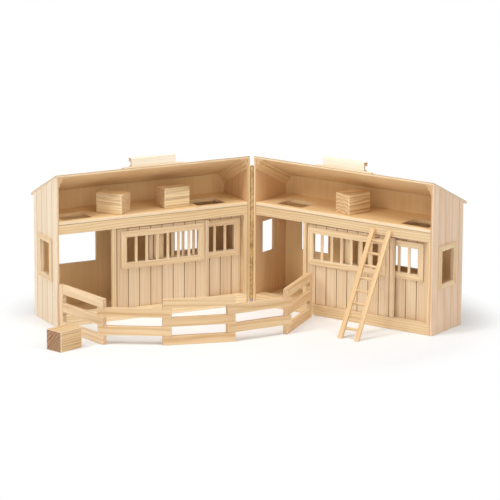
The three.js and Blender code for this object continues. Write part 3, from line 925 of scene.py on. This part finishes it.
def eased(node: str, radius: float, segments: int = 2) -> bpy.types.Object:
    """Makes a CAD node's stand-in with its sharp edges sanded round.

    Args:
        node: the node's name.
        radius: how far the rounding reaches from an edge.
        segments: how many facets it has.

    Returns:
        The stand-in, which rides on the node's body.
    """
    shape = own_mesh(node)
    softened(shape, radius, segments)
    piece = finished(shape, node + "_wood")
    mark = piece.modifiers.new("flat faces", "WEIGHTED_NORMAL")
    mark.keep_sharp = True
    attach(piece, frame["nodes"][node]["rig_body"])
    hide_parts(node)
    return piece


def clothe(piece: bpy.types.Object, material: bpy.types.Material) -> None:
    """Gives a piece its one material.

    Args:
        piece: the piece.
        material: the material.
    """
    piece.data.materials.clear()
    piece.data.materials.append(material)
    LOG.info("dressed %s in %s", piece.name, material.name)


class Side(Enum):
    """The left or the right half barn, seen from the yard."""

    LEFT = "left"
    RIGHT = "right"


@dataclass
class HalfBarn:
    """One half barn, in its own frame: x along the open front, y to the back wall, z up."""

    side: Side
    plank_pitch: float = 0.023
    end_wall_first_plank: float = 0.0205
    door_first_plank: float = 0.0193
    seam_share: float = 0.5
    # The outer walls' seams are drawn stronger on the lit left wall and fainter on the shaded right wall:
    # painted light and painted shade.
    lit_wall_seam_share: float = 0.55
    shaded_wall_seam_share: float = 0.35
    door_seam_share: float = 0.8
    grille_margin: float = 0.0035
    grille_border: float = 0.0115
    frame_border: float = 0.0095
    board_edge: float = 0.0004
    bar_edge: float = 0.0008
    # The painted shade on the doors under the beam: how far down it reaches and how softly it fades; and
    # how high the painted shade reaches above the sill on the doors and above the beam on the loft floor.
    beam_shade_height: float = 0.0032
    beam_shade_fade: float = 0.0014
    joint_shade_height: float = 0.0006
    same_edge: float = 0.0001

    @property
    def is_left(self) -> bool:
        """Tells whether this is the left half."""
        return self.side is Side.LEFT

    def place(self) -> Matrix:
        """Returns the matrix from the model's frame to the half's own.

        Returns:
            The matrix, which puts the sill's left front corner at the origin.
        """
        sign = 1 if self.is_left else -1
        turn = Matrix.Rotation(math.radians(-sign * (180 - OPENING) / 2), 4, "Z")
        flat = turn @ Matrix.Translation(-HINGE_AXIS)
        low, _ = span(corners(self.name("sill"), flat))
        return Matrix.Translation((-low.x, -low.y, 0)) @ flat

    def name(self, piece: str) -> str:
        """Returns the full name of one of the half's pieces."""
        return f"{self.side.value}_{piece}"

    def node(self, piece: str) -> bpy.types.Object:
        """Returns the CAD node of one of the half's pieces."""
        return frame["nodes"][self.name(piece)]

    def reach(self, piece: str) -> tuple[Vector, Vector]:
        """Returns the lowest and the highest corner of a piece in the half's own frame."""
        return span(corners(self.name(piece), self.place()))

    def dress(self) -> None:
        """Dresses every piece of the half."""
        self.dress_walls()
        self.dress_roof()
        self.dress_bars()
        self.dress_frames()
        self.dress_doors()

    def timber(
        self,
        piece: str,
        kind: Timber,
        lay: Lay,
        planks: Optional[Planks] = None,
        joinery: Optional[Mitre] = None,
        unshaded: Optional[UnshadedSpan] = None,
        front: Optional[float] = None,
    ) -> bpy.types.Material:
        """Makes the timber of one of the half's pieces."""
        return kind.material(self.name(piece), self.place(), lay, planks, joinery, unshaded, front)

    def dress_walls(self) -> None:
        """Dresses the back wall, the end walls and the boards inside."""
        low, high = self.reach("back_wall")
        even = math.fmod(high.x - low.x, self.plank_pitch) / 2
        seams = Planks(low.x + even, self.plank_pitch, high.y, self.seam_share)
        clothe(self.node("back_wall"), self.timber("back_wall", PLYWOOD, Lay.UPRIGHT, seams))
        # The left outer wall takes the lit copy of the pine and the right outer wall the shaded copy:
        # painted light and painted shade.
        outer, outer_seam_share = SHADED_WALL_PINE, self.shaded_wall_seam_share
        if self.is_left:
            outer, outer_seam_share = LIT_WALL_PINE, self.lit_wall_seam_share
        walls = (
            ("outer_wall", self.is_left, outer, outer_seam_share),
            ("inner_wall", not self.is_left, PINE, self.seam_share),
        )
        for wall, face_is_left, kind, seam_share in walls:
            low, high = self.reach(wall)
            face = -low.x if face_is_left else -high.x
            seams = Planks(low.y + self.end_wall_first_plank, self.plank_pitch, face, seam_share)
            clothe(self.node(wall), self.timber(wall, kind, Lay.UPRIGHT_END, seams))
        clothe(self.node("floor_board"), self.timber("floor_board", PLYWOOD, Lay.ALONG))
        low, _ = self.reach("loft_floor")
        # The loft floor's lowest strip, where it sits on the beam, is darkened with painted shade.
        unshaded = UnshadedSpan("Z", low=low.z + self.joint_shade_height)
        floor = eased(self.name("loft_floor"), self.board_edge)
        front = low.y + 2 * self.board_edge
        clothe(floor, self.timber("loft_floor", LOFT_PLY, Lay.ALONG, unshaded=unshaded, front=front))

    def dress_roof(self) -> None:
        """Dresses the roof and the battens under its ends."""
        name = self.name("roof")
        low, high = self.reach("roof")
        tops = corners(name, self.place())
        ridge = max((c for c in tops if c.y < low.y + self.same_edge), key=lambda c: c.z)
        eave = max((c for c in tops if c.y > high.y - self.same_edge), key=lambda c: c.z)
        slope = math.atan2(ridge.z - eave.z, eave.y - ridge.y)
        tilt = Matrix.Rotation(slope, 4, "X") @ Matrix.Translation(-ridge) @ self.place()
        clothe(eased(name, self.board_edge), ROOF_PLY.material(name, tilt, Lay.ALONG))
        for piece in ("left_cleat", "right_cleat"):
            made = eased(self.name(piece), self.board_edge)
            clothe(made, self.timber(piece, PLYWOOD, Lay.DOWN_SLOPE))

    def dress_bars(self) -> None:
        """Rounds and dresses the sill, the beam, the posts and the handle."""
        # The left sill takes the lit copy of the beam pine, the right sill and beam the shaded copy:
        # painted light and painted shade.
        kinds = {
            "sill": (LIT_BEAM_PINE if self.is_left else SHADED_BEAM_PINE, Lay.ALONG, self.bar_edge),
            "loft_beam": (BEAM_PINE if self.is_left else SHADED_BEAM_PINE, Lay.ALONG, self.bar_edge),
            "opening_post": (BEAM_PINE, Lay.UPRIGHT, self.board_edge),
            "closing_post": (BEAM_PINE, Lay.UPRIGHT, self.board_edge),
            "handle_base": (HANDLE_BIRCH, Lay.ALONG, self.board_edge),
            "handle_grip": (HANDLE_BIRCH, Lay.ALONG, self.bar_edge),
        }
        for piece, (kind, lay, edge) in kinds.items():
            made = eased(self.name(piece), edge)
            # The loft beam's rounded top edge, under the loft floor, is darkened with painted shade.
            top = self.reach(piece)[1].z - self.bar_edge
            unshaded = UnshadedSpan("Z", high=top) if piece == "loft_beam" else None
            clothe(made, self.timber(piece, kind, lay, unshaded=unshaded))

    def dress_frames(self) -> None:
        """Rounds and dresses the mitred frames: the outer wall's window and the doors' grilles."""
        along_front, along_end = 0, 1
        frames = {
            "window_frame": (Lay.ALONG_END, along_end, self.frame_border),
            "front_door_grille": (Lay.ALONG_FRONT, along_front, self.grille_border),
            "rear_door_grille": (Lay.ALONG_FRONT, along_front, self.grille_border),
        }
        for piece, (lay, along, border) in frames.items():
            low, high = self.reach(piece)
            middle = (low + high) / 2
            opening = (high - low) / 2 - Vector((border, border, border))
            mitre = Mitre((middle[along], middle.z), opening[along], opening.z)
            made = eased(self.name(piece), self.board_edge)
            clothe(made, self.timber(piece, BIRCH, lay, None, mitre))

    def dress_doors(self) -> None:
        """Dresses the sliding doors, whose planks count from the side nearer the hinge."""
        sill_top, beam_bottom = self.reach("sill")[1].z, self.reach("loft_beam")[0].z
        # Each door is darkened with painted shade in a band reaching down from under the beam and along its
        # foot in the sill.
        unshaded = UnshadedSpan("X", sill_top + self.joint_shade_height, beam_bottom - self.beam_shade_height, self.beam_shade_fade)
        for door in ("front_door", "rear_door"):
            low, high = self.reach(door + "_grille")
            if self.is_left:
                first = high.x + self.grille_margin - self.door_first_plank
            else:
                first = low.x - self.grille_margin + self.door_first_plank
            seams = Planks(first, self.plank_pitch, high.y, self.door_seam_share)
            clothe(self.node(door), self.timber(door, DOOR_PINE, Lay.UPRIGHT, seams, unshaded=unshaded))


@dataclass
class PianoHinge:
    """The brass hinge between the halves, with the screws of its leaves."""

    screw_count: int = 9
    screw_radius: float = 0.0017
    screw_rise: float = 0.0006
    screw_from_edge: float = 0.0042
    screw_from_end: float = 0.011
    screw_turn: float = 67.0
    head_facets: int = 20
    head_top_share: float = 0.8
    slot_half: float = 0.00025
    slot_depth: float = 0.0003
    top_from: float = 0.99
    sorting_line: Triple = (1.0, 0.618, 0.271)

    def dress(self) -> None:
        """Dresses the leaves and the pin, and screws the leaves on."""
        brass = Brass().material("piano_hinge")
        clothe(frame["nodes"]["hinge_pin"], brass)
        for side in Side:
            half = HalfBarn(side)
            outwards = Vector((1 if half.is_left else -1, 0, 0))
            leaf = half.node("hinge_leaf")
            # Each leaf's brass carries painted shade towards the other leaf's notches.
            clothe(leaf, Brass().material(leaf.name, half.place().to_3x3().inverted() @ outwards))
            clothe(self.screws(half), brass)

    def screws(self, half: HalfBarn) -> bpy.types.Object:
        """Makes the row of screws in one leaf.

        Args:
            half: the half that the leaf is screwed to.

        Returns:
            The screws, as one object that rides with the leaf.
        """
        leaf = half.node("hinge_leaf")
        outlines = corners(leaf.name, half.place())
        back = max(corner.y for corner in outlines) - self.screw_from_edge
        low, high = span([corner for corner in outlines if corner.y > back])
        face, lean = (high.x, 90) if half.is_left else (low.x, -90)
        pitch = (high.z - low.z - 2 * self.screw_from_end) / (self.screw_count - 1)
        upright = Matrix.Rotation(math.radians(lean), 4, "Y")
        unplaced = half.place().inverted()
        row = bmesh.new()
        for number in range(self.screw_count):
            spot = Vector((face, back, low.z + self.screw_from_end + number * pitch))
            turn = upright @ Matrix.Rotation(math.radians(number * self.screw_turn), 4, "Z")
            head = self.screw_head()
            head.transform(unplaced @ Matrix.Translation(spot) @ turn)
            holder = bpy.data.meshes.new("screw_head")
            head.to_mesh(holder)
            head.free()
            row.from_mesh(holder)
            bpy.data.meshes.remove(holder)
        piece = finished(row, half.name("leaf_screws"))
        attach(piece, leaf["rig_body"])
        return piece

    def screw_head(self) -> bmesh.types.BMesh:
        """Makes one low slotted screw head, standing on the ground at the origin.

        Returns:
            The head.
        """
        head = bmesh.new()
        bmesh.ops.create_cone(
            head, cap_ends=True, segments=self.head_facets, depth=self.screw_rise,
            radius1=self.screw_radius, radius2=self.head_top_share * self.screw_radius
        )
        bmesh.ops.translate(head, vec=(0, 0, self.screw_rise / 2), verts=head.verts)
        for side in (-1, 1):
            bmesh.ops.bisect_plane(
                head, geom=[*head.verts, *head.edges, *head.faces],
                plane_co=(0, side * self.slot_half, 0), plane_no=(0, 1, 0)
            )
        top = self.screw_rise * self.top_from
        strip = [
            face for face in head.faces
            if face.calc_center_median().z > top and abs(face.calc_center_median().y) < self.slot_half
        ]
        sunk = bmesh.ops.extrude_face_region(head, geom=strip)["geom"]
        lower = [item for item in sunk if isinstance(item, bmesh.types.BMVert)]
        bmesh.ops.translate(head, vec=(0, 0, -self.slot_depth), verts=lower)
        bmesh.ops.delete(head, geom=[face for face in strip if face.is_valid], context="FACES_ONLY")
        bmesh.ops.recalc_face_normals(head, faces=head.faces)
        # The cuts list their new corners and faces in any order, so both are sorted by their place
        # along a line that is askew to the head.
        line = Vector(self.sorting_line)
        head.verts.sort(key=lambda corner: line.dot(corner.co))
        head.faces.sort(key=lambda face: line.dot(face.calc_center_median()))
        return head


@dataclass
class LooseTimber:
    """A loose piece whose own x runs along its grain: a fence rail or a bale."""

    node: str
    kind: Timber
    edge: float
    segments: int
    pin: Optional[str] = None
    post: float = 0.0
    heading_step: float = 0.25

    def place(self) -> Matrix:
        """Finds the piece's own frame: x along it, away from its pin, from its middle.

        Returns:
            The matrix from the model's frame to the piece's own.
        """
        turned = Matrix.Rotation(-self.heading(), 4, "Z")
        low, high = span(corners(self.node, turned))
        placed = Matrix.Translation(-(low + high) / 2) @ turned
        if self.pin:
            pin_low, pin_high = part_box(self.pin)
            if (placed @ ((pin_low + pin_high) / 2)).x > 0:
                placed = Matrix.Rotation(math.pi, 4, "Z") @ placed
        return placed

    def heading(self) -> float:
        """Finds the turn about Z at which the piece is narrowest.

        Returns:
            The turn, in radians.
        """
        outline = corners(self.node, Matrix.Identity(4))
        tries = range(int(180 / self.heading_step))

        def width(angle: float) -> float:
            """Returns how wide the piece is across a direction."""
            across = [c.y * math.cos(angle) - c.x * math.sin(angle) for c in outline]
            return max(across) - min(across)

        return min((math.radians(self.heading_step * step) for step in tries), key=width)

    def dress(self) -> None:
        """Rounds the piece's edges and dresses it."""
        place = self.place()
        joinery = None
        if self.post:
            _, high = span(corners(self.node, place))
            joinery = CrossPart(high.x - self.post, "X")
        made = eased(self.node, self.edge, self.segments)
        clothe(made, self.kind.material(self.node, place, Lay.ALONG_FRONT, None, joinery))


@dataclass
class Fence:
    """The yard's fence: rails, end panels and pins."""

    edge: float = 0.0016
    post: float = 0.0115
    segments: int = 3

    def dress(self) -> None:
        """Dresses every rail, end panel and pin of the fence."""
        # End panel a takes the lit copy of the fence birch: painted light.
        ends = {
            "fence_a_end_panel": (LIT_FENCE_BIRCH, "fence_pin_ab"),
            "fence_e_end_panel": (FENCE_BIRCH, "fence_pin_de"),
        }
        for node in frame["nodes"]:
            if node.startswith("fence_pin"):
                clothe(frame["nodes"][node], BIRCH.material(node, Matrix.Identity(4), Lay.UPRIGHT))
            elif node in ends:
                kind, pin = ends[node]
                LooseTimber(node, kind, self.edge, self.segments, pin, self.post).dress()
            elif node.startswith("fence_"):
                LooseTimber(node, FENCE_BIRCH, self.edge, self.segments).dress()


@dataclass
class Ladder:
    """The loft ladder."""

    edge: float = 0.0006
    stile_width: float = 0.0085

    def dress(self) -> None:
        """Dresses both stiles, with the grain along their lean and across in the rungs."""
        half = HalfBarn(Side.RIGHT).place()
        for node in ("ladder_left_stile_and_rungs", "ladder_right_stile"):
            low, high = span(corners(node, half))
            lean = math.atan2(high.y - low.y, high.z)
            tilted = Matrix.Rotation(lean, 4, "X") @ half
            has_rungs = high.x - low.x > 2 * self.stile_width
            rungs = CrossPart(low.x + self.stile_width, "Y") if has_rungs else None
            clothe(eased(node, self.edge), LADDER_BIRCH.material(node, tilted, Lay.UPRIGHT, None, rungs))


@dataclass
class HayBales:
    """The wooden blocks that stand for hay bales."""

    edge: float = 0.0012
    segments: int = 3

    def dress(self) -> None:
        """Dresses the bales."""
        kinds = {
            "loft_bale_outer": LOFT_BALE,
            "loft_bale_middle": LOFT_BALE,
            "loft_bale_right": RINGED_BALE,
            "yard_bale": YARD_BALE,
        }
        for node, kind in kinds.items():
            LooseTimber(node, kind, self.edge, self.segments).dress()


@dataclass
class StudioCamera:
    """The camera, at the photograph's viewing angle."""

    distance: float = 6.2087
    azimuth: float = 3.97
    pitch: float = 13.646
    roll: float = 0.271
    aside: float = -0.0031
    above: float = 0.10132
    field_of_view: float = 8.664
    sees_to: float = 100.0

    def build(self) -> None:
        """Makes the camera and sets it as the scene's."""
        azimuth, pitch, roll = map(math.radians, (self.azimuth, self.pitch, self.roll))
        turn = Matrix.Rotation(azimuth, 3, "Z")
        ahead = turn @ Vector((0, math.cos(pitch), -math.sin(pitch)))
        right = turn @ Vector((1, 0, 0))
        up = right.cross(ahead)
        place = HINGE_AXIS - ahead * self.distance + right * self.aside + up * self.above
        across = right * math.cos(roll) + up * math.sin(roll)
        over = up * math.cos(roll) - right * math.sin(roll)
        facing = Matrix((across, over, -ahead)).transposed().to_4x4()
        data = bpy.data.cameras.new("studio_camera")
        data.sensor_fit = "HORIZONTAL"
        data.angle = math.radians(self.field_of_view)
        data.clip_end = self.sees_to
        camera = bpy.data.objects.new("studio_camera", data)
        camera.matrix_world = Matrix.Translation(place) @ facing
        bpy.context.scene.collection.objects.link(camera)
        bpy.context.scene.camera = camera


@dataclass
class SoftBox:
    """One large soft lamp, aimed at the object."""

    name: str
    azimuth: float
    elevation: float
    distance: float
    size: float
    power: float
    aim: Triple = (0.0, 0.0, 0.1)

    def build(self) -> None:
        """Makes the lamp."""
        azimuth, elevation = math.radians(self.azimuth), math.radians(self.elevation)
        flat = math.cos(elevation)
        towards = Vector((math.sin(azimuth) * flat, -math.cos(azimuth) * flat, math.sin(elevation)))
        data = bpy.data.lights.new(self.name, "AREA")
        data.shape = "DISK"
        data.size = self.size
        data.energy = self.power
        lamp = bpy.data.objects.new(self.name, data)
        turn = (-towards).to_track_quat("-Z", "Y").to_matrix().to_4x4()
        lamp.matrix_world = Matrix.Translation(Vector(self.aim) + towards * self.distance) @ turn
        bpy.context.scene.collection.objects.link(lamp)


@dataclass
class Studio:
    """The pale floor, the world and the lamps.

    To the camera, the floor takes the object's shadow within an oval and is pure white beyond it.
    """

    boxes: list[SoftBox] = field(
        default_factory=lambda: [
            SoftBox("left_box", azimuth=-52, elevation=40, distance=3.2, size=0.7, power=26),
            SoftBox("left_high_box", azimuth=-50, elevation=64, distance=3.2, size=1.4, power=24),
            SoftBox("right_box", azimuth=50, elevation=38, distance=3.2, size=1.3, power=15.5),
            SoftBox("right_high_box", azimuth=50, elevation=64, distance=3.2, size=1.4, power=13.5),
            SoftBox("front_box", azimuth=0, elevation=14, distance=3.6, size=2.2, power=18),
            SoftBox("top_box", azimuth=0, elevation=82, distance=3.0, size=1.6, power=20),
            SoftBox("back_box", azimuth=180, elevation=38, distance=3.6, size=2.2, power=12),
        ]
    )
    floor_reach: float = 40.0
    floor_drop: float = 0.0002
    floor_white: float = 0.92
    shadow_reach: float = 0.39
    shadow_fade: float = 0.1
    shadow_forward: float = -0.02
    shadow_aside: float = 0.01
    shadow_squeeze: float = 1.15
    shadow_share: float = 0.77
    glow: float = 0.1
    ambient: float = 0.29

    def build(self) -> None:
        """Makes the lamps, the world and the floor."""
        for box in self.boxes:
            box.build()
        self.build_world()
        self.build_floor()
        bpy.context.scene.view_settings.view_transform = "Standard"

    def build_world(self) -> None:
        """Makes a soft white surround that the camera and reflections see as white."""
        world = bpy.data.worlds.new("studio_world")
        world.use_nodes = True
        bench = NodeBench(world.node_tree)
        rays = bench.add("LightPath").outputs
        seen = bench.sum("MAXIMUM", rays["Is Camera Ray"], rays["Is Glossy Ray"])
        strength = bench.raised(seen, 1 - self.ambient, self.ambient)
        light = bench.add("Background", {"Color": WHITE, "Strength": strength})
        bench.add("OutputWorld", {"Surface": light.outputs[0]})
        bpy.context.scene.world = world

    def build_floor(self) -> None:
        """Makes the floor: white to the camera but for the object's shadow."""
        shape = bmesh.new()
        bmesh.ops.create_grid(shape, x_segments=1, y_segments=1, size=self.floor_reach)
        bmesh.ops.translate(shape, vec=(0, 0, -self.floor_drop), verts=shape.verts)
        floor = finished(shape, "studio_floor")
        made, bench = blank_material("studio_floor")
        rays = bench.add("LightPath").outputs
        plain = bench.add("BsdfDiffuse", {"Color": [self.floor_white] * 3}).outputs[0]
        faint = bench.add("BsdfDiffuse", {"Color": [self.shadow_share] * 3}).outputs[0]
        glow = bench.add("Emission", {"Color": WHITE, "Strength": self.glow}).outputs[0]
        near = bench.add("AddShader", {0: faint, 1: glow}).outputs[0]
        white = bench.add("Emission", {"Color": WHITE, "Strength": 1.0}).outputs[0]
        feeds = {
            "Vector": bench.add("TexCoord").outputs["Object"],
            "Location": (-self.shadow_aside, self.shadow_forward, 0.0),
            "Scale": (1.0, self.shadow_squeeze, 1.0),
        }
        away = bench.length(bench.add("Mapping", feeds, vector_type="POINT").outputs[0])
        far = bench.ease(away, self.shadow_reach, self.shadow_reach + self.shadow_fade)
        shown = bench.add("MixShader", {0: far, 1: near, 2: white}).outputs[0]
        mixed = bench.add("MixShader", {0: rays["Is Camera Ray"], 1: plain, 2: shown}).outputs[0]
        bench.add("OutputMaterial", {"Surface": mixed})
        clothe(floor, made)


def main() -> None:
    """Builds the shared effects, the camera, the studio and the stable's dress, in that order."""
    logging.basicConfig(level=logging.INFO, format="%(message)s")
    for effect in (WoodFigure(), PlankRow(), MitredFrame()):
        effect.build()
    StudioCamera().build()
    Studio().build()
    for side in Side:
        HalfBarn(side).dress()
    PianoHinge().dress()
    Fence().dress()
    Ladder().dress()
    HayBales().dress()


if __name__ == "__main__":
    main()
